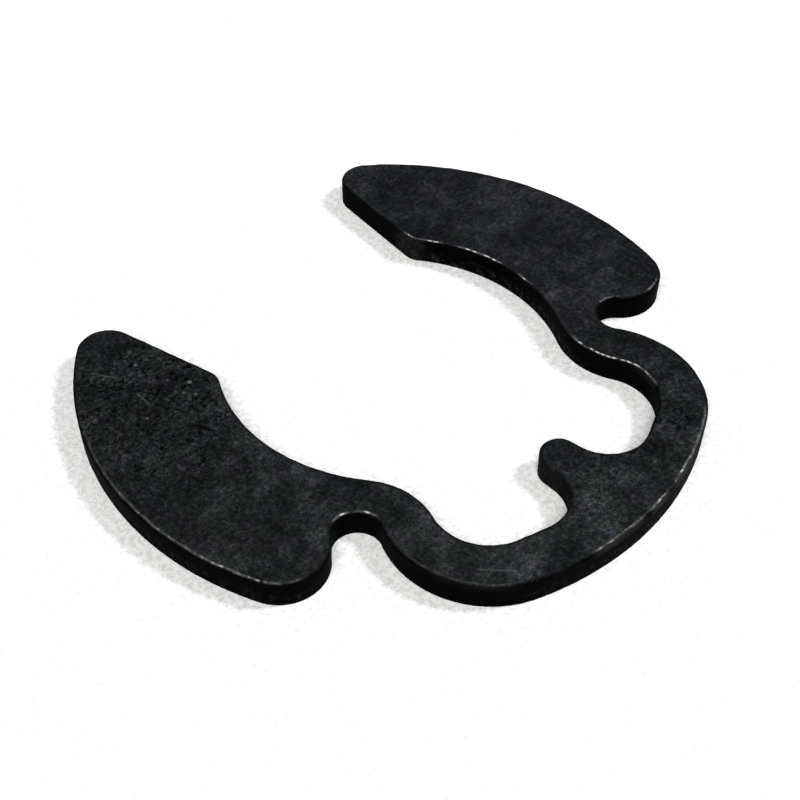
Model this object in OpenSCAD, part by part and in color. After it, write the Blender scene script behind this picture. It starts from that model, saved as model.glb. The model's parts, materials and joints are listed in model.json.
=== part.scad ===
// Retaining ring of the E type: one stamping of spring steel sheet with a dark finish. It is pushed
// sideways onto a shaft, and its heels and seat grip the floor of a groove there.
// It lies flat: the shaft's axis is Z, the mouth faces -Y and the lower face is at Z = 0.
// The outline is a chain of arcs that touch along their tangents, with three straight runs a side.

/* [Sheet] */
// Thickness of the sheet
thick = 2; // [1.5:0.1:3]
// Die roll: radius that the punch leaves along the upper edges
roll = 0.15; // [0.1:0.05:0.4]
// Break along the lower edges, where the burr was tumbled off
burr = 0.05; // [0.05:0.05:0.3]

/* [Seat] */
// Diameter of the seat, which grips the floor of the groove
seat_d = 25; // [22.5:0.1:27.5]
// Width of the mouth between the heels
mouth_w = 20.5; // [18:0.1:23]
// Radius of the heels, the inner corners of the mouth
heel_r = 1.5; // [1:0.1:3]

/* [Back and prong] */
// Diameter over the lobes and the back
outer_d = 45; // [42:0.1:48]
// Width of the band along the back and round the elbows
band_w = 3.4; // [2.8:0.1:4]
// Gap between the prong's tip and the shaft
prong_gap = 1.1; // [0.4:0.1:2]
// Radius of the prong's tip
prong_r = 1.4; // [1:0.1:2]
// How much the prong widens on each side, from its tip to its roots
prong_flare = 0.05; // [0.05:0.05:0.5]
// Radius of the roots on both sides of the prong
root_r = 3.05; // [2.4:0.05:3.8]

/* [Arms] */
// Direction of the pockets beside the prong, from the X axis
pocket_angle = 65.5; // [62:0.5:69]
// Radius of the pockets
pocket_r = 3.8; // [3.2:0.1:4.4]
// Radius of the shoulders, which lead from the pockets to the seat
shoulder_r = 5.4; // [4:0.1:7]
// Width of the arms at the waists, between the seat and the notches
waist_w = 3; // [2.4:0.1:3.6]
// Radius of the notches' roots
notch_r = 1.65; // [1.2:0.05:2.2]

/* [Lobes] */
// Direction of the lobes' ends, from the X axis towards the mouth
lobe_angle = 47.75; // [42:0.25:54]
// Radius of the lobes' ends
tip_r = 2.1; // [1.5:0.1:3]
// Turn about the shaft's axis from the notches to the lobes' corners beside them
flank_turn = 14; // [11:0.5:18]

/* [Hidden] */
$fn = 96;
steel = [0.14, 0.14, 0.15];
// Chords across the die roll
roll_steps = 3;
// Touching arcs overlap by this much, so that they cross instead of grazing
lap = 0.008;
// Depth of the rounded rims on the corners, well below the die roll
rim_depth = 4 * roll;
// Chords along the blank's edge behind a rounded rim
rim_steps = 6;
// How far cutting shapes stand out past the sheet
clear = 1;
// Blank's reach beyond the ring's rim
far = outer_d;

seat_r = seat_d / 2;
outer_r = outer_d / 2;
bridge_r = outer_r - band_w;
elbow_r = pocket_r + band_w;

function polar(r, a) = r * [cos(a), sin(a)];
function angle(v) = atan2(v.y, v.x);
// Other leg of a right triangle
function leg(hypotenuse, a) = sqrt(hypotenuse * hypotenuse - a * a);
// Point at distance r from the shaft's axis and d from point c, clockwise of c
function meet(r, c, d) = polar(r, angle(c) - acos((r * r + c * c - d * d) / (2 * r * norm(c))));
// Radius of a corner that touches the ring's rim at angle a from inside, and hollow c, r from outside
function corner_r(a, c, r) =
    let (rim = polar(outer_r, a))
    ((rim - c) * (rim - c) - r * r) / (2 * (outer_r - c * polar(1, a) + r));

// Centres of the arcs on the right-hand side
prong = [0, seat_r + prong_gap + prong_r];
root = let (x = prong_r + prong_flare + root_r) [x, leg(bridge_r - root_r, x)];
pocket = polar(bridge_r - pocket_r, pocket_angle);
shoulder = meet(seat_r + shoulder_r, pocket, pocket_r + shoulder_r);
notch = meet(seat_r + waist_w + notch_r, pocket, elbow_r + notch_r);
flank_angle = angle(notch) - flank_turn;
flank_r = corner_r(flank_angle, notch, notch_r);
flank = polar(outer_r - flank_r, flank_angle);
heel = let (x = mouth_w / 2 + heel_r) [x, -leg(seat_r + heel_r, x)];
tip = polar(outer_r - tip_r, -lobe_angle);

// A straight run between two arcs: its two ends, and the angle of its outward normal.
// A hollow's radius is given as negative.
function run(a, ra, b, rb) =
    let (n = angle(b - a) - acos((ra - rb) / norm(b - a)))
    [a + polar(ra, n), b + polar(rb, n), n];
prong_run = run(prong, prong_r, root, -root_r);
back_run = run(root, -root_r, pocket, -pocket_r);
mouth_run = run(heel, heel_r, tip, tip_r);

// A corner's arc, counter-clockwise: centre, radius, and the angles where it starts and ends
function arc(centre, r, start, end) =
    [centre, r, start, end + 360 * ceil((start - end) / 360)];
prong_arc = arc(prong, prong_r, 180 - prong_run[2], prong_run[2]);
shoulder_arc = arc(shoulder, shoulder_r, angle(pocket - shoulder), 180 + angle(shoulder));
heel_arc = arc(heel, heel_r, 180 + angle(heel), mouth_run[2]);
tip_arc = arc(tip, tip_r, mouth_run[2], -lobe_angle);
flank_arc = arc(flank, flank_r, flank_angle, angle(notch - flank));
elbow_arc = arc(pocket, elbow_r, angle(notch - pocket), pocket_angle);
function arc_start(arc) = arc[0] + polar(arc[1], arc[2]);
function arc_end(arc) = arc[0] + polar(arc[1], arc[3]);

// Points of the blank's edge behind the rounded rim of a corner
function behind(arc) =
    [for (i = [0 : rim_steps])
        arc[0] + polar(arc[1] - rim_depth / 2, arc[2] + (arc[3] - arc[2]) * i / rim_steps)];
// Edge of the blank on the right, from the side of the prong round to the back. It follows the
// straight runs, passes behind the corners, cuts across the hollows and stays outside the ring's rim.
right_edge = concat(
    [prong_run[0], prong_run[1], back_run[0], back_run[1], arc_start(shoulder_arc)],
    behind(shoulder_arc),
    [arc_end(shoulder_arc), arc_start(heel_arc)],
    behind(heel_arc),
    [mouth_run[0], mouth_run[1]],
    behind(tip_arc),
    [polar(far, -lobe_angle), polar(far, flank_angle)],
    behind(flank_arc),
    [arc_end(flank_arc), arc_start(elbow_arc)],
    behind(elbow_arc),
    [polar(far, pocket_angle)]
);
left_edge = [for (i = [len(right_edge) - 1 : -1 : 0]) [-right_edge[i].x, right_edge[i].y]];

// Point of the die roll at angle a; side is 1 on a corner and -1 in a hollow
function roll_point(r, side, a) = [r - side * roll * (1 - cos(a)), thick - roll * (1 - sin(a))];
// Section of a wall from the lower face up; over draws its ends out past the faces, from 0 to 1
function wall(r, side, over) =
    let (a = 90 / roll_steps, top = roll_point(r, side, 90))
    concat(
        [[r - side * burr * (1 + over), -burr * over], [r, burr]],
        [for (i = [0 : roll_steps - 1]) roll_point(r, side, i * a)],
        [top + over * (top - roll_point(r, side, 90 - a))]
    );

// A turned solid from its wall's section, closed at radius inner
module turned(section, inner, start, sweep) {
    last = section[len(section) - 1];
    rotate_extrude(start = start, angle = sweep)
        polygon(concat([[inner, section[0].y]], section, [[inner, last.y]]));
}

// Rounded rim of a corner, swept a little past both ends of its arc
module corner(arc) {
    r = arc[1] + lap;
    past = 2 * acos(1 - lap / r);
    translate(arc[0])
        turned(wall(r, 1, 1), max(0, r - rim_depth), arc[2] - past, arc[3] - arc[2] + 2 * past);
}

// Round hollow that flares at both faces
module hollow(centre, r) {
    translate(centre)
        turned(wall(r, -1, 1), 0, 0, 360);
}

// Cuts the die roll and the lower break along a straight run. The roll's first chord is drawn out
// down the wall, and the cut stands past the sheet on its other sides.
module run_cut(run) {
    section = wall(0, 1, 1);
    below_roll = 2 * section[2] - section[3];
    above = [section[len(section) - 1].x, thick + clear];
    translate((run[0] + run[1]) / 2)
    rotate([90, 0, run[2]])
    linear_extrude(norm(run[1] - run[0]) + 2 * lap, center = true) {
        polygon([[-2 * burr, -burr], [burr, 2 * burr], [burr, -burr]]);
        polygon(concat(
            [below_roll],
            [for (i = [3 : len(section) - 1]) section[i]],
            [above, [clear, above.y], [clear, below_roll.y]]
        ));
    }
}

module both_sides() {
    children();
    mirror([1, 0, 0]) children();
}

// Flat blank, taller than the sheet, with its straight edges rolled
module blank() {
    difference() {
        translate([0, 0, -clear])
            linear_extrude(thick + 2 * clear)
            polygon(concat(behind(prong_arc), right_edge, left_edge));
        both_sides() {
            run_cut(prong_run);
            run_cut(back_run);
            run_cut(mouth_run);
        }
    }
}

// The whole ring: a rounded disc, kept where the blank and its corners are and opened by the hollows
module retaining_ring() {
    color(steel)
    difference() {
        intersection() {
            turned(wall(outer_r, 1, 0), 0, 0, 360);
            union() {
                blank();
                corner(prong_arc);
                both_sides() {
                    corner(shoulder_arc);
                    corner(heel_arc);
                    corner(tip_arc);
                    corner(flank_arc);
                    corner(elbow_arc);
                }
            }
        }
        hollow([0, 0], seat_r);
        both_sides() {
            hollow(root, root_r + lap);
            hollow(pocket, pocket_r + lap);
            hollow(notch, notch_r + lap);
        }
    }
}

retaining_ring();
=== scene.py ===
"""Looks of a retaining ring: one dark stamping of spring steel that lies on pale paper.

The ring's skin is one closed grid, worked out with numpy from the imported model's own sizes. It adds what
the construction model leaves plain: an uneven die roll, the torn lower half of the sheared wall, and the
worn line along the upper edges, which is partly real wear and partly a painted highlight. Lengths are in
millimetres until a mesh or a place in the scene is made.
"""

import json
import logging
import math
from dataclasses import dataclass
from enum import Enum
from typing import ClassVar, TypeAlias

import bpy
import numpy as np
from mathutils import Matrix, Vector


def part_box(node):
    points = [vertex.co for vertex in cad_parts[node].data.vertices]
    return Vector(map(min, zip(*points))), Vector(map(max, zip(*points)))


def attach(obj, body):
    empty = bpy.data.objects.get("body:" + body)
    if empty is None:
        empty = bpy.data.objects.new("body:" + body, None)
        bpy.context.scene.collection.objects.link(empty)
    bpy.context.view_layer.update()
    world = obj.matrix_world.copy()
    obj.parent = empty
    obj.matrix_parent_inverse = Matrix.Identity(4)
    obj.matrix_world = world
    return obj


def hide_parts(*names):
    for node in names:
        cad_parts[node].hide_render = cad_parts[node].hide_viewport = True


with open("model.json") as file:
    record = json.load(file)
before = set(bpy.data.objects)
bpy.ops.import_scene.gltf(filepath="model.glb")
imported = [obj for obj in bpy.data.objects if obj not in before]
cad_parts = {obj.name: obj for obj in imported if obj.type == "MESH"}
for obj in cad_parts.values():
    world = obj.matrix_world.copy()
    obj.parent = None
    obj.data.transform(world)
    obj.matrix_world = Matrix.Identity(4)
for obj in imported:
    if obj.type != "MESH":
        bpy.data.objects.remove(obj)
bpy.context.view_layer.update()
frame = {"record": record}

MM = 0.001
NODE = "retaining_ring"
RIM_ATTRIBUTE = "rim"
LOG = logging.getLogger("retaining ring")

# Corners of the skin that agree to this many digits are one
WELD_DIGITS = 6
# Middle of a noise's values
NOISE_MIDDLE = 0.5

Number: TypeAlias = "Field | float"
Colour: TypeAlias = tuple[float, float, float, float]
Ends: TypeAlias = tuple[float, float]
Settings: TypeAlias = dict[str, object]
Inputs: TypeAlias = dict[str | int, object]


class Arc(Enum):
    """Arcs of one side's edge, in the order in which the belt runs round them."""

    PRONG = "prong"
    ROOT = "root"
    POCKET = "pocket"
    SHOULDER = "shoulder"
    SEAT = "seat"
    HEEL = "heel"
    TIP = "tip"
    RIM = "rim"
    FLANK = "flank"
    NOTCH = "notch"
    ELBOW = "elbow"
    BACK = "back"


class Ray(Enum):
    """Kinds of ray that see the white background, by the output that tells them."""

    CAMERA = "Is Camera Ray"
    GLOSSY = "Is Glossy Ray"
    PASSING = "Is Transmission Ray"


def polar(radius: float, degrees: float) -> complex:
    """Point at that distance and direction from the shaft's axis."""
    return radius * np.exp(1j * math.radians(degrees))


def direction(point: complex) -> float:
    """Direction of a point from the shaft's axis, in degrees from the X axis."""
    return math.degrees(np.angle(point))


def ease(low: float, high: float, values: np.ndarray) -> np.ndarray:
    """Smooth step from 0 at low to 1 at high: at share s, three s squared less two s cubed."""
    share = np.clip((values - low) / (high - low), 0.0, 1.0)
    return share * share * (3.0 - 2.0 * share)


@dataclass(frozen=True)
class Pulley:
    """One arc of the edge; a hollow has a negative radius."""

    arc: Arc
    centre: complex
    radius: float

    def normal_towards(self, other: "Pulley") -> complex:
        """Outward normal of the tangent from this arc to the next.

        With the centres delta apart and the radii rise apart, the tangent runs along
        delta / (length + i rise), and its outward normal is a quarter turn clockwise of that.

        Args:
            other: The next arc along the belt.

        Returns:
            The unit normal, as a complex number.
        """
        delta = other.centre - self.centre
        rise = other.radius - self.radius
        length = math.sqrt(max(abs(delta) ** 2 - rise * rise, 0.0))
        along = delta / (length + 1j * rise)
        return -1j * along / abs(along)

    def sweep(self, start: complex, end: complex, step: float) -> np.ndarray:
        """Unit normals round the arc, counter-clockwise on a corner and clockwise in a hollow.

        Args:
            start: Normal where the belt reaches the arc.
            end: Normal where it leaves.
            step: Longest distance between two samples.

        Returns:
            The normals, as complex numbers.
        """
        turn = np.angle(end / start) % (2.0 * np.pi)
        if self.radius < 0:
            turn -= 2.0 * np.pi
        count = int(abs(turn * self.radius) / step) + 2
        return start * np.exp(1j * turn * np.linspace(0.0, 1.0, count))


@dataclass(frozen=True)
class Edge:
    """Sampled edge of the ring's right half, from the prong's tip round to the middle of the back."""

    points: np.ndarray
    normals: np.ndarray
    lengths: np.ndarray
    spans: dict[Arc, Ends]

    @classmethod
    def round_pulleys(cls, pulleys: list[Pulley], first: complex, last: complex, step: float) -> "Edge":
        """Carries a belt round the arcs, with straight runs where two of them don't touch.

        Args:
            pulleys: The arcs in order.
            first: Outward normal where the belt starts.
            last: Outward normal where it ends.
            step: Longest distance between two samples on an arc.

        Returns:
            The sampled edge, with each arc's span of length along it.
        """
        between = [a.normal_towards(b) for a, b in zip(pulleys, pulleys[1:])]
        starts = [first] + between
        ends = between + [last]
        normals = [p.sweep(a, b, step) for p, a, b in zip(pulleys, starts, ends)]
        points = [p.centre + p.radius * n for p, n in zip(pulleys, normals)]
        joined = np.concatenate(points)
        lengths = np.concatenate([[0.0], np.cumsum(np.abs(np.diff(joined)))])
        firsts = np.cumsum([0] + [len(p) for p in points])
        spans = {p.arc: (lengths[a], lengths[b - 1]) for p, a, b in zip(pulleys, firsts, firsts[1:])}
        return cls(joined, np.concatenate(normals), lengths, spans)

    def place(self, arc: Arc, share: float) -> float:
        """Length along the edge at a share of an arc."""
        start, end = self.spans[arc]
        return start + share * (end - start)

    def at(self, lengths: np.ndarray) -> tuple[np.ndarray, np.ndarray]:
        """Points and unit normals at lengths along the edge, straight between the samples."""
        normals = np.interp(lengths, self.lengths, self.normals)
        return np.interp(lengths, self.lengths, self.points), normals / np.abs(normals)


@dataclass(frozen=True)
class RingShape:
    """Outline of the ring: arcs that touch along their tangents. Three sizes come from the frame."""

    seat_r: float
    outer_r: float
    thick: float
    mouth_w: float = 20.5
    heel_r: float = 1.5
    band_w: float = 3.4
    prong_gap: float = 1.1
    prong_r: float = 1.4
    prong_flare: float = 0.05
    root_r: float = 3.05
    pocket_angle: float = 65.5
    pocket_r: float = 3.8
    shoulder_r: float = 5.4
    waist_w: float = 3.0
    notch_r: float = 1.65
    lobe_angle: float = 47.75
    tip_r: float = 2.1
    flank_turn: float = 14.0
    sample_step: float = 0.02

    @classmethod
    def from_frame(cls) -> "RingShape":
        """Takes the sheet's and rim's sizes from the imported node, and the seat's from its mount.

        Returns:
            The ring's outline.
        """
        low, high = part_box(NODE)
        seat = next(m for m in frame["record"]["mounts"] if m["name"] == "shaft_seat")
        return cls(seat["dims"]["r_mm"], (high.x - low.x) / (2.0 * MM), (high.z - low.z) / MM)

    def clockwise_of(self, centre: complex, far: float, reach: float) -> complex:
        """Point at two distances, from the shaft's axis and from a centre, by the law of cosines.

        Args:
            centre: The centre; the point lies clockwise of it.
            far: Distance from the shaft's axis.
            reach: Distance from the centre.

        Returns:
            The point.
        """
        near = abs(centre)
        turn = math.acos((far * far + near * near - reach * reach) / (2.0 * far * near))
        return polar(far, direction(centre) - math.degrees(turn))

    def flank(self, notch: complex) -> tuple[complex, float]:
        """Centre and radius of the lobe's corner, which touches the rim inside and the notch outside.

        Args:
            notch: Centre of the notch.

        Returns:
            The centre and the radius.
        """
        along = polar(1.0, direction(notch) - self.flank_turn)
        gap = self.outer_r * along - notch
        reach = self.outer_r - (notch * along.conjugate()).real + self.notch_r
        radius = (abs(gap) ** 2 - self.notch_r ** 2) / (2.0 * reach)
        return (self.outer_r - radius) * along, radius

    def pulleys(self) -> list[Pulley]:
        """Arcs of the right half, from the prong to the back.

        Returns:
            The arcs in the belt's order.
        """
        bridge_r = self.outer_r - self.band_w
        elbow_r = self.pocket_r + self.band_w
        root_x = self.prong_r + self.prong_flare + self.root_r
        heel_x = self.mouth_w / 2.0 + self.heel_r
        pocket = polar(bridge_r - self.pocket_r, self.pocket_angle)
        shoulder = self.clockwise_of(pocket, self.seat_r + self.shoulder_r, self.pocket_r + self.shoulder_r)
        notch = self.clockwise_of(pocket, self.seat_r + self.waist_w + self.notch_r, elbow_r + self.notch_r)
        flank, flank_r = self.flank(notch)
        heel = heel_x - 1j * math.sqrt((self.seat_r + self.heel_r) ** 2 - heel_x ** 2)
        root = root_x + 1j * math.sqrt((bridge_r - self.root_r) ** 2 - root_x ** 2)
        return [
            Pulley(Arc.PRONG, 1j * (self.seat_r + self.prong_gap + self.prong_r), self.prong_r),
            Pulley(Arc.ROOT, root, -self.root_r),
            Pulley(Arc.POCKET, pocket, -self.pocket_r),
            Pulley(Arc.SHOULDER, shoulder, self.shoulder_r),
            Pulley(Arc.SEAT, 0j, -self.seat_r),
            Pulley(Arc.HEEL, heel, self.heel_r),
            Pulley(Arc.TIP, polar(self.outer_r - self.tip_r, -self.lobe_angle), self.tip_r),
            Pulley(Arc.RIM, 0j, self.outer_r),
            Pulley(Arc.FLANK, flank, flank_r),
            Pulley(Arc.NOTCH, notch, -self.notch_r),
            Pulley(Arc.ELBOW, pocket, elbow_r),
            Pulley(Arc.BACK, 0j, self.outer_r),
        ]

    def edge(self) -> Edge:
        """The sampled edge of the right half."""
        return Edge.round_pulleys(self.pulleys(), -1j, 1j, self.sample_step)

    def stations(self, edge: Edge) -> np.ndarray:
        """Pairs of places that face each other across the band, from the lobe's end to the prong.

        Each pair is an arc and a share of it on the inner side, then the same on the outer side.

        Args:
            edge: The sampled edge.

        Returns:
            One row for each station: the length along the edge on the inner side and on the outer side.
        """
        centres = {p.arc: p.centre for p in self.pulleys()}
        heel = direction(centres[Arc.HEEL])
        flank = direction(centres[Arc.FLANK])
        beside_heel = (heel + self.lobe_angle) / (flank + self.lobe_angle)
        pairs = [
            (Arc.TIP, 0.5, Arc.TIP, 0.5),
            (Arc.HEEL, 0.5, Arc.RIM, beside_heel),
            (Arc.SEAT, 0.489, Arc.FLANK, 0.0),
            (Arc.SEAT, 0.429, Arc.FLANK, 0.46),
            (Arc.SEAT, 0.384, Arc.FLANK, 0.73),
            (Arc.SEAT, 0.331, Arc.FLANK, 1.0),
            (Arc.SEAT, 0.249, Arc.NOTCH, 0.15),
            (Arc.SEAT, 0.159, Arc.NOTCH, 0.31),
            (Arc.SEAT, 0.0, Arc.NOTCH, 0.63),
            (Arc.POCKET, 1.0, Arc.ELBOW, 0.045),
            (Arc.POCKET, 0.0, Arc.ELBOW, 1.0),
            (Arc.ROOT, 0.43, Arc.BACK, 0.66),
            (Arc.ROOT, 0.19, Arc.BACK, 0.84),
            (Arc.ROOT, 0.0, Arc.BACK, 0.94),
            (Arc.PRONG, 0.0, Arc.BACK, 1.0),
        ]
        return np.array([[edge.place(a, s), edge.place(b, t)] for a, s, b, t in pairs])


@dataclass(frozen=True)
class Ripple:
    """A smooth field of waves with seeded directions, about 0 and mostly from -1 to 1."""

    longest: float
    octaves: int
    seed: int
    waves: int = 14
    keep: float = 0.75

    def at(self, points: np.ndarray) -> np.ndarray:
        """Sums sine waves; each octave halves the wavelength and keeps a share of the height.

        Args:
            points: Places in millimetres, with x, y and z along the last axis.

        Returns:
            The field at each place.
        """
        rng = np.random.default_rng(self.seed)
        total = np.zeros(points.shape[:-1])
        heights = self.keep ** np.arange(self.octaves)
        for octave, height in enumerate(heights):
            ways = rng.normal(size=(3, self.waves))
            ways *= 2.0 * np.pi * 2.0 ** octave / (self.longest * np.linalg.norm(ways, axis=0))
            phases = rng.uniform(0.0, 2.0 * np.pi, self.waves)
            total += height * np.sin(points @ ways + phases).sum(axis=-1)
        return total / math.sqrt(self.waves * np.sum(heights ** 2))


class Section:
    """Columns of the edge's section, from the upper face over the die roll and down to the lower face."""

    face_insets: ClassVar[np.ndarray] = np.array([0.95, 0.7, 0.5, 0.36, 0.27, 0.21])
    roll_angles: ClassVar[np.ndarray] = np.linspace(0.0, np.pi / 2.0, 9)
    wall_shares: ClassVar[np.ndarray] = np.linspace(0.0, 1.0, 11)[1:]
    break_shares: ClassVar[np.ndarray] = np.array([0.5, 1.0])
    base_insets: ClassVar[np.ndarray] = np.array([0.25, 0.55, 0.95])


@dataclass(frozen=True)
class ShearedEdge:
    """Sheared edge of the sheet: die roll above, smooth shear zone, torn zone and a small break below."""

    thick: float
    roll: float = 0.15
    roll_range: Ends = (0.4, 1.6)
    roll_wear: float = 0.22
    roll_sway: float = 0.12
    burr: float = 0.05
    worn_depth: float = 0.003
    torn_zone: Ends = (0.42, 0.62)
    torn_depth: float = 0.015
    torn_height: float = 0.006
    torn_limit: float = 1.2
    sway: Ripple = Ripple(7.0, 3, 11)
    wear: Ripple = Ripple(2.6, 3, 23)
    tear: Ripple = Ripple(1.1, 3, 37)

    def columns(self, points: np.ndarray, normals: np.ndarray) -> tuple[np.ndarray, np.ndarray]:
        """Carries the section along the edge.

        A column at inset i and drop d stands at point - i normal, and at height thick - d. The roll is a
        quarter circle whose radius sways along the edge. The wall below it leans in where it is torn.

        Args:
            points: The edge's points, as complex numbers.
            normals: Its outward normals.

        Returns:
            Places with x, y and z along the last axis, and each place's distance from the roll's start:
            positive on the face, negative down the roll and the wall.
        """
        flat = np.stack([points.real, points.imag, np.zeros(len(points))], axis=-1)
        uneven = 1.0 + self.roll_wear * self.wear.at(flat) + self.roll_sway * self.sway.at(flat)
        low, high = (share * self.roll for share in self.roll_range)
        radius = np.clip(self.roll * uneven, low, high)[:, None]
        worn = self.worn_depth * (1.0 + np.clip(self.wear.at(flat + self.thick), -1.0, 1.0))[:, None]
        ones = np.ones_like(radius)
        face_inset = radius - self.roll + Section.face_insets * ones
        roll_inset = radius * (1.0 - np.sin(Section.roll_angles))
        roll_drop = radius * (1.0 - np.cos(Section.roll_angles))
        wall_drop = radius + Section.wall_shares * (self.thick - self.burr - radius)
        break_drop = self.thick - self.burr + self.burr * Section.break_shares * ones
        drop = np.hstack([0.0 * face_inset, roll_drop, wall_drop, break_drop,
                          self.thick * np.ones_like(Section.base_insets) * ones])
        lean = self.torn_depth * ease(*self.torn_zone, Section.wall_shares) * ones
        break_inset = lean[:, -1:] + self.burr * Section.break_shares
        inset = np.hstack([face_inset, roll_inset, lean, break_inset, Section.base_insets * ones])
        rim = np.hstack([face_inset - radius, -radius * Section.roll_angles,
                         -radius * np.pi / 2.0 - wall_drop + radius,
                         -radius * np.pi / 2.0 - break_drop + radius,
                         Section.base_insets * ones])
        places = self.carry(points, normals, inset, drop)
        torn = ease(*self.torn_zone, (drop - radius) / (self.thick - radius))
        rough = np.clip(self.tear.at(places), -self.torn_limit, self.torn_limit)
        standing = ease(0.0, self.roll, drop) * ease(0.0, self.burr, self.thick - drop)
        inset += standing * (worn + torn * self.torn_height * (self.torn_limit + rough))
        return self.carry(points, normals, inset, drop), rim

    def carry(self, points: np.ndarray, normals: np.ndarray, inset: np.ndarray,
              drop: np.ndarray) -> np.ndarray:
        """Places for insets and drops along the edge."""
        flat = points[:, None] - normals[:, None] * inset
        return np.stack([flat.real, flat.imag, self.thick - drop], axis=-1)


@dataclass(frozen=True)
class Skin:
    """A closed skin of triangles with one value at each corner."""

    corners: np.ndarray
    triangles: np.ndarray
    rim: np.ndarray

    @classmethod
    def from_grid(cls, grid: np.ndarray, rim: np.ndarray) -> "Skin":
        """Closes a grid whose columns run round the band and whose end rows are folded flat.

        Each cell becomes two triangles, with the last column joined to the first. Places that agree
        become one corner, and triangles that this leaves without area are dropped.

        Args:
            grid: Places, with the rows along the band first and the columns round it second.
            rim: One value for each place.

        Returns:
            The welded skin.
        """
        rows, columns = rim.shape
        index = np.arange(rows * columns).reshape(rows, columns)
        here = index[:-1]
        along = index[1:]
        quads = np.stack([here, np.roll(here, -1, 1), np.roll(along, -1, 1), along], axis=-1).reshape(-1, 4)
        triangles = np.concatenate([quads[:, [0, 1, 2]], quads[:, [0, 2, 3]]])
        keys = np.round(grid.reshape(-1, 3), WELD_DIGITS)
        _, first, back = np.unique(keys, axis=0, return_index=True, return_inverse=True)
        triangles = back.reshape(-1)[triangles]
        a, b, c = triangles.T
        return cls(keys[first], triangles[(a != b) & (b != c) & (c != a)], rim.reshape(-1)[first])

    def outward(self) -> "Skin":
        """Turns the faces outward, told by the sign of the volume that they enclose.

        Returns:
            The same skin, with its triangles reversed if they pointed inward.
        """
        a, b, c = (self.corners[self.triangles[:, i]] for i in range(3))
        volume = np.einsum("ij,ij->i", a, np.cross(b, c)).sum()
        return self if volume > 0 else Skin(self.corners, self.triangles[:, ::-1], self.rim)

    def piece(self, name: str) -> bpy.types.Object:
        """Makes the smooth mesh, in metres, with the values as an attribute of its corners.

        Args:
            name: Name of the object and its mesh.

        Returns:
            The object, linked to the scene.
        """
        mesh = bpy.data.meshes.new(name)
        mesh.from_pydata((self.corners * MM).tolist(), [], self.triangles.tolist())
        mesh.polygons.foreach_set("use_smooth", np.ones(len(mesh.polygons), bool))
        layer = mesh.attributes.new(RIM_ATTRIBUTE, "FLOAT", "POINT")
        layer.data.foreach_set("value", self.rim.astype(np.float32))
        mesh.validate()
        mesh.update()
        made = bpy.data.objects.new(name, mesh)
        bpy.context.scene.collection.objects.link(made)
        return made


@dataclass(frozen=True)
class Grain:
    """A noise of a finish: waves per millimetre, octaves, their roughness, and its height or its ends."""

    scale: float
    detail: float
    roughness: float
    height: float = 1.0
    ends: Ends = (0.0, 1.0)


class Field:
    """A node's output socket that takes part in sums and products like a number."""

    def __init__(self, graph: "Graph", socket: bpy.types.NodeSocket) -> None:
        """Keeps the socket and the graph that its nodes go to."""
        self.graph = graph
        self.socket = socket

    def math(self, operation: str, *values: Number) -> "Field":
        """A Math node of that operation on these values."""
        settings = {"operation": operation}
        return self.graph.field("ShaderNodeMath", "Value", settings, dict(enumerate(values)))

    def __add__(self, other: Number) -> "Field":
        """Sum."""
        return self.math("ADD", self, other)

    def __sub__(self, other: Number) -> "Field":
        """Difference."""
        return self.math("SUBTRACT", self, other)

    def __rsub__(self, other: Number) -> "Field":
        """Difference from a number."""
        return self.math("SUBTRACT", other, self)

    def __mul__(self, other: Number) -> "Field":
        """Product."""
        return self.math("MULTIPLY", self, other)

    def __truediv__(self, other: Number) -> "Field":
        """Quotient."""
        return self.math("DIVIDE", self, other)

    def __rtruediv__(self, other: Number) -> "Field":
        """A number divided by the value."""
        return self.math("DIVIDE", other, self)

    def __pow__(self, other: Number) -> "Field":
        """Power."""
        return self.math("POWER", self, other)

    def __rpow__(self, other: Number) -> "Field":
        """A number raised to the value."""
        return self.math("POWER", other, self)

    __radd__ = __add__
    __rmul__ = __mul__

    def most(self, other: Number) -> "Field":
        """The larger of two values."""
        return self.math("MAXIMUM", self, other)

    def least(self, other: Number) -> "Field":
        """The smaller of two values."""
        return self.math("MINIMUM", self, other)

    def held(self, high: float = 1.0) -> "Field":
        """The value kept between 0 and high."""
        return self.most(0.0).least(high)

    def size(self) -> "Field":
        """The value without its sign."""
        return self.math("ABSOLUTE", self)

    def exponent(self) -> "Field":
        """The base of natural logarithms raised to the value."""
        return self.math("EXPONENT", self)

    def ramp(self, low: float, high: float) -> "Field":
        """Smooth step from 0 at low to 1 at high; low may be the larger one.

        Args:
            low: Where the step is 0.
            high: Where it is 1.

        Returns:
            The step.
        """
        falls = low > high
        settings = {"interpolation_type": "SMOOTHSTEP"}
        inputs = {"Value": self, "From Min": min(low, high), "From Max": max(low, high),
                  "To Min": float(falls), "To Max": float(not falls)}
        return self.graph.field("ShaderNodeMapRange", "Result", settings, inputs)


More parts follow.
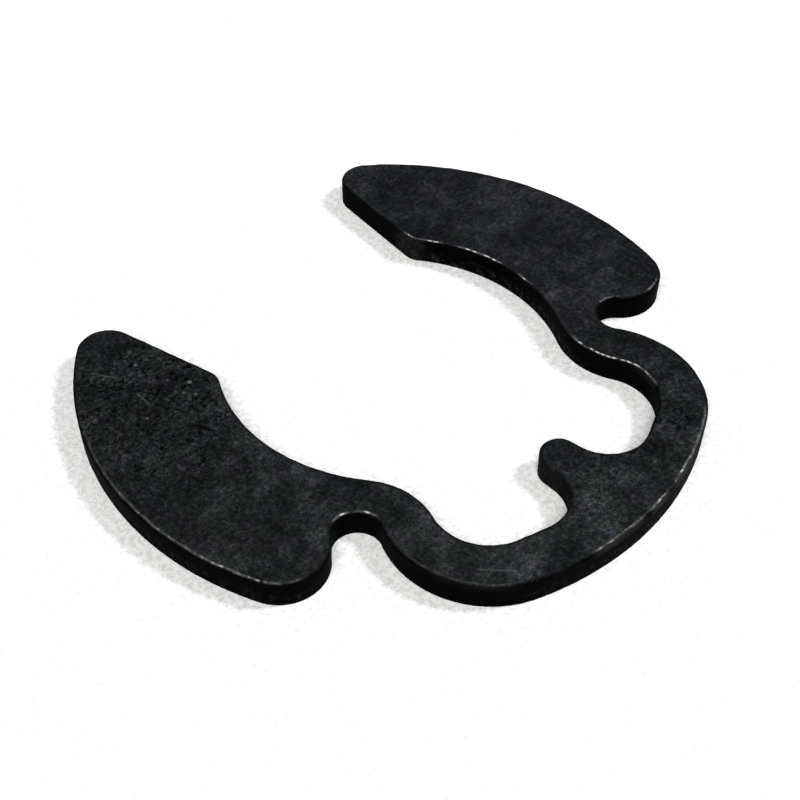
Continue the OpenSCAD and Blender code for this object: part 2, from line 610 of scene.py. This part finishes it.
class Graph:
    """Nodes of one material or world."""

    def __init__(self, owner: bpy.types.Material | bpy.types.World) -> None:
        """Starts with an empty tree.

        Args:
            owner: The material or world that the nodes belong to.
        """
        owner.use_nodes = True
        self.tree = owner.node_tree
        self.tree.nodes.clear()

    def node(self, kind: str, settings: Settings | None = None,
             inputs: Inputs | None = None) -> bpy.types.Node:
        """Makes a node of any type.

        Args:
            kind: The node's type.
            settings: Properties that are set before the sockets.
            inputs: Values or links of its sockets, by name or number.

        Returns:
            The node.
        """
        made = self.tree.nodes.new(kind)
        for name, value in (settings or {}).items():
            setattr(made, name, value)
        for key, value in (inputs or {}).items():
            if isinstance(value, Field):
                self.tree.links.new(value.socket, made.inputs[key])
            else:
                made.inputs[key].default_value = value
        return made

    def field(self, kind: str, output: str, settings: Settings | None = None,
              inputs: Inputs | None = None) -> Field:
        """One output of a new node, as a field."""
        return Field(self, self.node(kind, settings, inputs).outputs[output])

    def places(self) -> Field:
        """Object coordinates in millimetres."""
        return self.scaled(self.field("ShaderNodeTexCoord", "Object"), 1.0 / MM)

    def noise(self, places: Field, grain: Grain) -> Field:
        """A noise about 0, times its height."""
        inputs = {"Vector": places, "Scale": grain.scale,
                  "Detail": grain.detail, "Roughness": grain.roughness}
        return grain.height * (self.field("ShaderNodeTexNoise", "Fac", None, inputs) - NOISE_MIDDLE)

    def blend(self, share: Number, first: Field | Colour, second: Field | Colour) -> Field:
        """Mix of two colours."""
        settings = {"data_type": "RGBA", "clamp_factor": True}
        return self.field("ShaderNodeMix", "Result", settings, {"Factor": share, "A": first, "B": second})

    def scaled(self, vector: Field | Colour, factor: Number) -> Field:
        """A vector or a colour times a value."""
        settings = {"operation": "SCALE"}
        return self.field("ShaderNodeVectorMath", "Vector", settings, {"Vector": vector, "Scale": factor})

    def ray(self, kind: Ray) -> Field:
        """1 for rays of that kind, and 0 for others."""
        return self.field("ShaderNodeLightPath", kind.value)

    def close(self, shader: bpy.types.Node, output: str) -> None:
        """Links a shader to an output node of that type."""
        self.tree.links.new(shader.outputs[0], self.node(output).inputs["Surface"])


class Surface:
    """Coordinates of the ring's surface in millimetres, and the noises and marks that lie on them."""

    def __init__(self, graph: Graph) -> None:
        """Makes the coordinates.

        Args:
            graph: The material's nodes.
        """
        self.graph = graph
        self.places = graph.places()
        self.rim = graph.field("ShaderNodeAttribute", "Fac", {"attribute_name": RIM_ATTRIBUTE})
        split = graph.node("ShaderNodeSeparateXYZ", None, {"Vector": self.places})
        self.across, self.along, self.height = (Field(graph, socket) for socket in split.outputs)

    def swing(self, grain: Grain) -> Field:
        """A noise about 0, times its height."""
        return self.graph.noise(self.places, grain)

    def cover(self, grain: Grain) -> Field:
        """A noise as a share: 0 at its first end and 1 at its second."""
        return self.swing(grain).ramp(*grain.ends)

    def away(self, x: Number, y: Number) -> Field:
        """Distance in plan from a place."""
        return ((self.across - x) ** 2.0 + (self.along - y) ** 2.0) ** 0.5

    def marks(self, marks: "tuple[Spot | Scratch, ...]") -> Field:
        """Sum of several marks' masks."""
        return sum((m.mask(self) for m in marks[1:]), marks[0].mask(self))


@dataclass(frozen=True)
class Fade:
    """A smooth step along some length in millimetres: 0 at its start, and its share at its end."""

    start: float
    end: float
    share: float = 1.0

    def at(self, length: Field) -> Field:
        """The step at each length."""
        return self.share * length.ramp(self.start, self.end)


@dataclass(frozen=True)
class Spot:
    """A round place on a face or its edge, in millimetres, and how strongly it is marked."""

    x: float
    y: float
    reach: float
    strength: float
    core: float = 0.25

    def mask(self, surface: Surface) -> Field:
        """Strength within the core's share of the reach, fading to 0 at the reach."""
        return self.strength * surface.away(self.x, self.y).ramp(self.reach, self.core * self.reach)


@dataclass(frozen=True)
class Scratch:
    """A straight scratch on the upper face, in millimetres."""

    x0: float
    y0: float
    x1: float
    y1: float
    half: float
    strength: float
    core: float = 0.2

    def mask(self, surface: Surface) -> Field:
        """Strength on the line, fading to 0 at the half width; the share of the way along is clamped.

        Args:
            surface: The surface that carries the scratch.

        Returns:
            The mask.
        """
        run_x = self.x1 - self.x0
        run_y = self.y1 - self.y0
        reached = (surface.across - self.x0) * run_x + (surface.along - self.y0) * run_y
        share = (reached / (run_x ** 2 + run_y ** 2)).held()
        away = surface.away(self.x0 + share * run_x, self.y0 + share * run_y)
        return self.strength * away.ramp(self.half, self.core * self.half)


# Where the upper edges are worn and carry a painted highlight; the same places set the painted sheen on the
# back's walls below them
EDGE_WEAR_AND_GLINT: tuple[Spot, ...] = (
    Spot(20.9, -7.7, 5.0, 0.12),
    Spot(22.2, -3.1, 3.6, 0.20),
    Spot(22.3, 0.0, 3.0, 0.24),
    Spot(22.1, 3.1, 2.2, 0.42),
    Spot(21.7, 5.2, 2.0, 0.50),
    Spot(20.9, 7.8, 1.8, 0.55),
    Spot(19.9, 9.1, 1.6, 0.20),
    Spot(13.6, 7.9, 1.1, 0.80),
    Spot(12.4, 8.9, 1.2, 0.60),
    Spot(13.2, 15.0, 3.0, 0.08),
    Spot(11.6, 18.5, 2.4, 0.12),
    Spot(4.1, 21.9, 1.6, 0.45),
    Spot(2.0, 22.3, 1.8, 0.35),
    Spot(-1.0, 22.3, 1.5, 0.65),
    Spot(-4.1, 21.9, 1.9, 0.75),
    Spot(-6.6, 21.4, 1.8, 0.45),
    Spot(-9.0, 20.5, 2.0, 0.40),
    Spot(-10.5, -7.5, 1.0, 1.2),
    Spot(-11.2, -6.0, 1.1, 1.3),
    Spot(-12.3, -3.2, 1.4, 1.2),
    Spot(-12.6, -1.3, 1.3, 1.5),
    Spot(-12.5, 2.1, 1.2, 1.0),
    Spot(-9.6, 9.9, 1.5, 0.70),
    Spot(-10.0, 11.6, 1.8, 1.7),
    Spot(-10.5, 13.4, 1.6, 1.5),
    Spot(-10.2, 15.2, 1.2, 0.50),
    Spot(-15.2, 7.7, 1.3, 1.1),
    Spot(-18.4, 9.7, 1.3, 0.60),
)

# Painted glints on the worn edges: x, y and strength
DOT_REACH = 0.24
WORN_GLINT_DOTS: tuple[Spot, ...] = tuple(Spot(x, y, DOT_REACH, strength) for x, y, strength in (
    (20.8, 7.7, 0.5), (21.7, 5.3, 0.4), (13.6, 7.9, 0.9), (12.4, 9.0, 0.8), (-1.0, 22.3, 0.7),
    (-4.1, 21.9, 0.6), (4.0, 22.0, 0.3), (-11.1, -6.1, 0.9), (-11.3, -5.7, 0.7), (-12.3, -3.3, 0.9),
    (-12.4, -2.7, 0.9), (-12.6, -1.6, 1.0), (-12.7, -1.0, 1.0), (-12.4, 2.1, 0.7), (-9.6, 9.5, 0.7),
    (-9.7, 10.5, 0.9), (-9.7, 11.0, 1.0), (-9.8, 11.4, 1.0), (-9.9, 11.8, 1.0), (-10.0, 12.2, 1.0),
    (-10.3, 12.8, 1.0), (-10.4, 13.3, 0.9), (-10.5, 13.9, 0.9), (-10.4, 14.8, 0.6),
))

SCRATCHES: tuple[Scratch, ...] = (
    Scratch(15.2, -10.0, 15.3, -8.7, 0.10, 0.26),
    Scratch(16.0, -13.9, 15.1, -12.2, 0.09, 0.20),
    Scratch(13.1, 3.3, 12.6, 3.5, 0.09, 0.16),
    Scratch(11.2, 17.2, 9.8, 18.9, 0.14, 0.22),
    Scratch(12.0, 18.2, 11.4, 18.8, 0.14, 0.20),
)

# Pale flecks in the upper face, painted as glints of bright grains
GLINT_FLECKS: tuple[Spot, ...] = (
    Spot(13.4, -12.3, 0.2, 0.6),
    Spot(12.0, -8.2, 0.22, 0.85),
    Spot(12.5, -7.0, 0.18, 0.5),
    Spot(12.9, -9.5, 0.16, 0.4),
    Spot(15.9, -12.8, 0.18, 0.35),
    Spot(13.0, -7.7, 0.17, 0.4),
    Spot(16.3, -7.7, 0.17, 0.45),
    Spot(12.8, -13.6, 0.25, 0.22),
    Spot(13.7, 0.6, 0.2, 0.25),
    Spot(-3.6, 20.1, 0.2, 0.3),
    Spot(-12.5, 4.6, 0.2, 0.25),
)

DARK_PITS: tuple[Spot, ...] = (
    Spot(-4.9, 19.3, 0.45, 0.95),
    Spot(-6.7, 17.1, 0.4, 0.8),
    Spot(-7.8, 18.6, 0.3, 0.7),
    Spot(8.3, 20.5, 0.7, 0.8),
    Spot(7.3, 21.0, 0.6, 0.8),
)

# Faces with more grain and pits, or with less where the strength is negative
ROUGH_PATCHES: tuple[Spot, ...] = (
    Spot(-7.0, 16.5, 7.0, 1.0),
    Spot(14.5, -8.0, 12.0, 1.3),
    Spot(1.0, 19.0, 6.0, 0.5),
    Spot(-16.0, -4.0, 12.0, -0.5),
)

# Faces that are lighter, or darker where the strength is negative
TONE_PATCHES: tuple[Spot, ...] = (
    Spot(6.0, 20.0, 12.0, 0.24),
    Spot(17.0, 8.0, 9.0, 0.18),
    Spot(15.0, -11.0, 11.0, -0.21),
    Spot(-16.0, -1.0, 14.0, -0.13),
    Spot(-11.0, 13.0, 6.5, -0.33),
)

# Walls with more torn metal in sight, or with less where the strength is negative; where it is positive
# they also take the painted sheen
WALL_PATCHES: tuple[Spot, ...] = (
    Spot(-10.6, -7.6, 1.8, 0.9),
    Spot(1.6, 15.2, 2.4, 0.8),
    Spot(12.3, 17.2, 5.0, -1.0),
)


@dataclass(frozen=True)
class SteelFinish:
    """Black conversion coating on spring steel: speckled, near black on the walls, partly as painted shade,
    with a painted dark band along the edges, and worn at the edges, where a painted highlight goes with the
    wear.

    The fields are the colours, the surface's constants, the noises, the measures of the face, of the
    walls and of the wear with its painted highlight, and last the steps by height, by distance in plan and
    across the edge.
    """

    cool: Colour = (0.0141, 0.0163, 0.0196, 1.0)
    green: Colour = (0.0145, 0.0179, 0.0157, 1.0)
    violet: Colour = (0.0174, 0.0163, 0.0204, 1.0)
    grey: Colour = (0.0165, 0.0170, 0.0184, 1.0)
    # Near black of the walls: partly the sheared metal's darker finish, partly painted shade
    wall: Colour = (0.0010, 0.0010, 0.0010, 1.0)
    torn: Colour = (0.026, 0.0275, 0.0247, 1.0)
    # Paler wall colour: painted sheen below the worn edges
    painted_wall_sheen: Colour = (0.0435, 0.0435, 0.0406, 1.0)
    # Pale colour of the scratches and of the flecks, which are painted glints
    light: Colour = (0.167, 0.181, 0.181, 1.0)
    # Colour of the worn edges: uncoated steel, with a painted highlight
    bare_and_glint: Colour = (0.66, 0.67, 0.64, 1.0)

    roughness: float = 0.62
    bare_roughness: float = 0.42
    bare_metallic: float = 0.4
    specular: float = 0.01
    bump_strength: float = 0.6
    bump_depth: float = 0.02
    fine_bump: float = 0.6

    blotch: Grain = Grain(0.26, 2.0, 0.6, 2.7)
    mottle: Grain = Grain(0.8, 2.0, 0.7, 2.8)
    speckle: Grain = Grain(3.0, 1.0, 0.6, 2.7)
    fine: Grain = Grain(7.5, 1.0, 0.8, 2.4)
    greenish: Grain = Grain(0.7, 2.0, 0.6, ends=(-0.04, 0.14))
    purplish: Grain = Grain(0.55, 2.0, 0.6, ends=(0.0, 0.13))
    pitting: Grain = Grain(2.7, 1.0, 0.6, ends=(-0.04, -0.14))
    clustering: Grain = Grain(1.0, 2.0, 0.7, ends=(0.1, -0.1))
    tearing: Grain = Grain(1.7, 3.0, 0.75, ends=(-0.02, 0.2))
    fraying: Grain = Grain(3.0, 1.0, 0.6, ends=(-0.12, 0.08))
    dotting: Grain = Grain(3.0, 2.0, 0.7, ends=(0.03, 0.16))
    smoothing: Grain = Grain(1.2, 2.0, 0.6, ends=(-0.25, 0.15))

    contrast: float = 1.05
    rough_contrast: float = 0.35
    rough_lean: float = 0.04
    drift_across: float = 0.004
    drift_along: float = 0.002
    greying: Fade = Fade(-0.2, 0.9, 0.7)
    pit_limit: float = 0.9

    sheen_limit: float = 0.6
    sheen_patches: float = 0.2

    # Measures of the wear line and its painted highlight
    dot_share: float = 0.6
    line_share: float = 0.40
    line_base: float = 0.03
    line_limit: float = 0.45

    upper: Fade = Fade(1.2, 1.6)
    tear_height: Fade = Fade(1.3, 0.6)
    seat_walls: Fade = Fade(15.0, 13.0)
    rim_walls: Fade = Fade(20.0, 22.0, 0.5)
    back_walls: Fade = Fade(13.0, 17.0)
    sheen_width: Fade = Fade(-0.75, -0.15)
    # Painted shade along the edges: the walls' near black laid on the face and the die roll
    face_shade: Fade = Fade(0.2, 0.02, 0.7)
    roll_shade: Fade = Fade(-0.02, -0.16, 0.3)
    line_place: float = 0.07
    line_width: Fade = Fade(0.13, 0.03)
    dot_width: Fade = Fade(0.09, 0.03)

    def make(self, name: str) -> bpy.types.Material:
        """Builds the finish: a coated face, dark walls partly in painted shade, and uncoated steel with a
        painted highlight along the worn upper edges.

        Args:
            name: Name of the material.

        Returns:
            The material.
        """
        made = bpy.data.materials.new(name)
        graph = Graph(made)
        surface = Surface(graph)
        speckle = surface.swing(self.speckle)
        fine = surface.swing(self.fine)
        rough = surface.marks(ROUGH_PATCHES)
        worn = surface.marks(EDGE_WEAR_AND_GLINT)
        ragged = surface.marks(DARK_PITS) * surface.cover(self.fraying)
        contrast = self.contrast + self.rough_contrast * rough
        face = self.face(surface, contrast * (speckle + fine), rough)
        # Painted shade: the walls' near black laid along the face's edges; the dark pits take it too
        coat = graph.blend(self.shade(surface).most(ragged), face, self.walls(surface, worn))
        # Uncoated steel at the worn edges, with a painted highlight
        bare_and_glint = self.wear(surface, worn) * (1.0 - ragged)
        bump = graph.field("ShaderNodeBump", "Normal", None, {
            "Strength": self.bump_strength,
            "Distance": self.bump_depth * MM,
            "Height": speckle + self.fine_bump * fine,
        })
        shader = graph.node("ShaderNodeBsdfPrincipled", None, {
            "Base Color": graph.blend(bare_and_glint, coat, self.bare_and_glint),
            "Metallic": self.bare_metallic * bare_and_glint,
            "Roughness": self.roughness + (self.bare_roughness - self.roughness) * bare_and_glint,
            "Specular IOR Level": self.specular,
            "Normal": bump,
        })
        graph.close(shader, "ShaderNodeOutputMaterial")
        return made

    def face(self, surface: Surface, speckle: Field, rough: Field) -> Field:
        """Colour of the faces: tints in patches, paler and greyer grains, pits, pale flecks painted as
        glints, and scratches.

        Args:
            surface: The ring's surface.
            speckle: Noise of the fine grain, which the tone follows as an exponent.
            rough: How rough the face is.

        Returns:
            The colour.
        """
        graph = surface.graph
        lean = self.rough_lean * rough.most(0.0)
        drift = self.drift_across * surface.across + self.drift_along * surface.along + lean
        greenish = (surface.swing(self.greenish) + drift).ramp(*self.greenish.ends)
        purplish = (surface.swing(self.purplish) - lean).ramp(*self.purplish.ends)
        tint = graph.blend(greenish, self.cool, self.green)
        tint = graph.blend(purplish, tint, self.violet)
        tint = graph.blend(self.greying.at(speckle), tint, self.grey)
        tone = surface.swing(self.blotch) + surface.swing(self.mottle) + speckle
        tone = tone + surface.marks(TONE_PATCHES)
        pitted = surface.cover(self.pitting) * surface.cover(self.clustering)
        pitted = (pitted * rough).held(self.pit_limit)
        coated = graph.scaled(tint, tone.exponent() * (1.0 - pitted))
        # Pale marks: real scratches, and flecks that are painted glints
        marked = surface.marks(GLINT_FLECKS + SCRATCHES) * self.upper.at(surface.height)
        return graph.blend(marked, coated, self.light)

    def walls(self, surface: Surface, worn: Field) -> Field:
        """Colour of the walls: near black, partly the sheared metal's own dark finish and partly painted
        shade, mottled where the metal tore, and with a painted sheen below the back's edge.

        Args:
            surface: The ring's surface.
            worn: How worn the nearest edge is; it also sets where the painted sheen lies.

        Returns:
            The colour.
        """
        graph = surface.graph
        radius = surface.away(0.0, 0.0)
        bared = self.seat_walls.at(radius) + self.rim_walls.at(radius)
        patches = surface.marks(WALL_PATCHES)
        thin = self.tear_height.at(surface.height) * bared + patches
        torn = surface.cover(self.tearing) * thin.held()
        # Painted sheen: a paler band on the back's walls below the worn edges, and on the lighter wall
        # patches
        painted_wall_sheen = worn.least(self.sheen_limit) * self.back_walls.at(surface.along)
        painted_wall_sheen = painted_wall_sheen * self.sheen_width.at(surface.rim) + self.sheen_patches * patches.most(0.0)
        return graph.blend(painted_wall_sheen, graph.blend(torn, self.wall, self.torn), self.painted_wall_sheen)

    def shade(self, surface: Surface) -> Field:
        """Share of the wall's colour, painted as shade of the rolled edge: it begins on the face, just
        short of the die roll.
        """
        return self.face_shade.at(surface.rim) + self.roll_shade.at(surface.rim)

    def wear(self, surface: Surface, worn: Field) -> Field:
        """Share of uncoated steel along the upper die roll, which also paints a highlight there: a soft
        line, with bright painted glints as dots where it is worn.

        Args:
            surface: The ring's surface.
            worn: How worn the edge is, and so how strong its painted highlight is.

        Returns:
            The share.
        """
        away = (surface.rim - self.line_place).size()
        dots = self.dot_share * worn * surface.cover(self.dotting) + surface.marks(WORN_GLINT_DOTS)
        faint = (worn + self.line_base).least(self.line_limit)
        line = self.line_share * faint * surface.cover(self.smoothing)
        both = dots * self.dot_width.at(away) + line * self.line_width.at(away)
        return (both * self.upper.at(surface.height)).least(1.0)


@dataclass
class Ring:
    """The stamped ring: one piece of sheet with a prong, two pockets, two notches and two lobes."""

    shape: RingShape
    finish: SteelFinish
    row_step: float = 0.16
    top_columns: int = 15
    base_columns: int = 7
    name: str = "spring_steel_ring"

    def rows(self) -> tuple[np.ndarray, np.ndarray, np.ndarray, np.ndarray]:
        """Facing points of the band's two edges, from the right lobe's end round to the left one's.

        Returns:
            Points and normals of the inner edge, then of the outer edge, as complex numbers.
        """
        edge = self.shape.edge()
        stations = self.shape.stations(edge)
        counts = np.ceil(np.abs(np.diff(stations, axis=0)).max(axis=1) / self.row_step)
        knots = np.concatenate([[0.0], np.cumsum(counts)])
        steps = np.arange(int(knots[-1]) + 1)
        halves = [part for side in stations.T for part in edge.at(np.interp(steps, knots, side))]
        return tuple(np.concatenate([half, -half[-2::-1].conj()]) for half in halves)

    def build(self) -> bpy.types.Object:
        """Lays the skin round the band: over the top, down one wall, back below and up the other.

        A row's upper and lower face are straight lines between the insets of its two edges.

        Returns:
            The ring's object.
        """
        edge = ShearedEdge(self.shape.thick)
        inner_points, inner_normals, outer_points, outer_normals = self.rows()
        outer, outer_rim = edge.columns(outer_points, outer_normals)
        inner, inner_rim = edge.columns(inner_points, inner_normals)
        inner = inner[:, ::-1]
        inner_rim = inner_rim[:, ::-1]
        top = np.linspace(0.0, 1.0, self.top_columns)[1:-1, None]
        base = np.linspace(0.0, 1.0, self.base_columns)[1:-1, None]
        grid = np.concatenate([
            outer,
            outer[:, -1:] * (1.0 - base) + inner[:, :1] * base,
            inner,
            inner[:, -1:] * (1.0 - top) + outer[:, :1] * top,
        ], axis=1)
        rim = np.concatenate([
            outer_rim,
            np.repeat(outer_rim[:, -1:], len(base), axis=1),
            inner_rim,
            np.repeat(outer_rim[:, :1], len(top), axis=1),
        ], axis=1)
        skin = Skin.from_grid(grid, rim).outward()
        LOG.info("ring: %d corners, %d triangles", len(skin.corners), len(skin.triangles))
        return skin.piece(self.name)

    def dress(self, piece: bpy.types.Object) -> None:
        """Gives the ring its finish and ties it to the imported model.

        Args:
            piece: The ring's object.
        """
        piece.data.materials.append(self.finish.make("black_coated_steel"))
        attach(piece, "root")
        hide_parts(NODE)


@dataclass(frozen=True)
class PaperFinish:
    """White paper with a faint grain that shows only in the shadow; the camera sees it lifted to white."""

    white: Colour = (0.93, 0.93, 0.92, 1.0)
    grey: Colour = (0.70, 0.71, 0.685, 1.0)
    fibre: Grain = Grain(2.4, 3.0, 0.8, ends=(-0.12, 0.14))
    lift: float = 0.45
    roughness: float = 0.9

    def make(self, name: str) -> bpy.types.Material:
        """Builds the paper.

        Args:
            name: Name of the material.

        Returns:
            The material.
        """
        made = bpy.data.materials.new(name)
        graph = Graph(made)
        fibre = graph.noise(graph.places(), self.fibre).ramp(*self.fibre.ends)
        lifted = 1.0 + self.lift * graph.ray(Ray.CAMERA)
        shader = graph.node("ShaderNodeBsdfPrincipled", None, {
            "Base Color": graph.scaled(graph.blend(fibre, self.white, self.grey), lifted),
            "Roughness": self.roughness,
            "Specular IOR Level": 0.0,
        })
        graph.close(shader, "ShaderNodeOutputMaterial")
        return made


@dataclass(frozen=True)
class Lamp:
    """A round soft lamp that looks at the ring from a direction; its size and distance are in metres."""

    name: str
    way: tuple[float, float, float]
    size: float
    power: float
    distance: float = 2.5

    def build(self) -> bpy.types.Object:
        """Makes the lamp.

        Returns:
            The lamp's object.
        """
        data = bpy.data.lights.new(self.name, "AREA")
        data.shape = "DISK"
        data.size = self.size
        data.energy = self.power
        made = bpy.data.objects.new(self.name, data)
        way = Vector(self.way).normalized()
        turn = way.to_track_quat("Z", "Y").to_matrix().to_4x4()
        made.matrix_world = Matrix.Translation(way * self.distance) @ turn
        bpy.context.scene.collection.objects.link(made)
        return made


@dataclass(frozen=True)
class Studio:
    """Paper floor, a lamp on the right that throws the shadow, a wide one in front and a pale surround."""

    paper: PaperFinish = PaperFinish()
    side: Lamp = Lamp("side_lamp", (-0.53, 0.39, 0.75), 0.47, 23.9)
    front: Lamp = Lamp("front_lamp", (0.50, 0.28, 0.82), 1.8, 41.2)
    floor_half: float = 0.3
    background: Colour = (1.0, 1.0, 1.0, 1.0)
    surround: float = 0.159

    def build(self) -> None:
        """Makes the floor, the lamps and the surrounding light."""
        half = self.floor_half
        mesh = bpy.data.meshes.new("paper_floor")
        corners = [(-half, -half, 0.0), (half, -half, 0.0), (half, half, 0.0), (-half, half, 0.0)]
        mesh.from_pydata(corners, [], [tuple(range(len(corners)))])
        floor = bpy.data.objects.new("paper_floor", mesh)
        bpy.context.scene.collection.objects.link(floor)
        mesh.materials.append(self.paper.make("white_paper"))
        self.side.build()
        self.front.build()
        self.light_round()

    def light_round(self) -> None:
        """Makes the surrounding light: white to rays that show it as a background, and dim as a light."""
        world = bpy.data.worlds.new("studio")
        bpy.context.scene.world = world
        graph = Graph(world)
        seen = graph.ray(Ray.CAMERA).most(graph.ray(Ray.GLOSSY)).most(graph.ray(Ray.PASSING))
        strength = seen + self.surround * (1.0 - seen)
        inputs = {"Color": self.background, "Strength": strength}
        graph.close(graph.node("ShaderNodeBackground", None, inputs), "ShaderNodeOutputWorld")


@dataclass(frozen=True)
class Viewpoint:
    """The photograph's camera: angles in degrees, its place in millimetres and its focal length."""

    azimuth: float = 131.3224
    elevation: float = 45.0028
    roll: float = 0.691
    eye: tuple[float, float, float] = (55.095, 49.208, 70.764)
    focal_over_width: float = 1413.06 / 800.0
    sensor: float = 36.0

    def build(self) -> bpy.types.Object:
        """Makes the scene's camera.

        It looks back along the direction of its azimuth and elevation. Its level and upright axes are
        square to that, and the roll turns them about it.

        Returns:
            The camera's object.
        """
        turn, lift, tilt = (math.radians(v) for v in (self.azimuth, self.elevation, self.roll))
        back = Vector((math.sin(turn) * math.cos(lift), -math.cos(turn) * math.cos(lift), math.sin(lift)))
        level = Vector((math.cos(turn), math.sin(turn), 0.0))
        upright = back.cross(level)
        right = level * math.cos(tilt) + upright * math.sin(tilt)
        up = upright * math.cos(tilt) - level * math.sin(tilt)
        data = bpy.data.cameras.new("camera")
        data.sensor_width = self.sensor
        data.lens = self.sensor * self.focal_over_width
        data.clip_start = MM
        made = bpy.data.objects.new("camera", data)
        axes = Matrix((right, up, back)).transposed().to_4x4()
        made.matrix_world = Matrix.Translation(Vector(self.eye) * MM) @ axes
        bpy.context.scene.collection.objects.link(made)
        bpy.context.scene.camera = made
        return made


def main() -> None:
    """Builds the ring, the studio and the camera."""
    logging.basicConfig(level=logging.INFO, format="%(name)s: %(message)s")
    bpy.context.scene.view_settings.view_transform = "Standard"
    ring = Ring(RingShape.from_frame(), SteelFinish())
    piece = ring.build()
    ring.dress(piece)
    LOG.info("ring dressed as %s", piece.name)
    Studio().build()
    LOG.info("studio built")
    camera = Viewpoint().build()
    LOG.info("camera placed at %s", tuple(round(v, 4) for v in camera.location))


if __name__ == "__main__":
    main()
